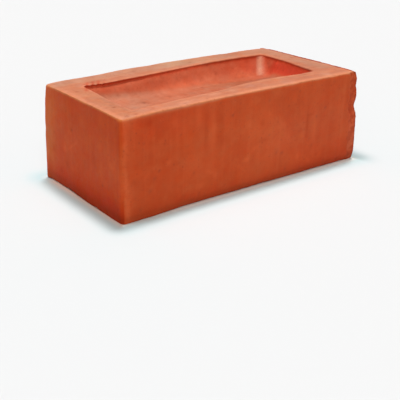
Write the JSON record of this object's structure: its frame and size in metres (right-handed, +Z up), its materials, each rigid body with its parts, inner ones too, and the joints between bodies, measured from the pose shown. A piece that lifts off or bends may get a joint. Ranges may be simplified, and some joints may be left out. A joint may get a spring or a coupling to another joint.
{
  "type": "clay brick",
  "caption": "Solid pressed red clay brick with a deep frog in its upper bed and one torn, lumpy header; laid in mortar to build walls.",
  "frame": {"origin": "on the ground under the middle of the brick, at the centre of the lower bed", "axes": "+X along the length towards the torn header, +Y across the bed, +Z up out of the frog"},
  "size_m": [0.23, 0.11, 0.076],
  "materials": {
    "fired_clay": "matte fired red clay, smooth from the mould, torn on one header"
  },
  "bodies": {
    "root": {"brick": "fired_clay"}
  },
  "joints": []
}
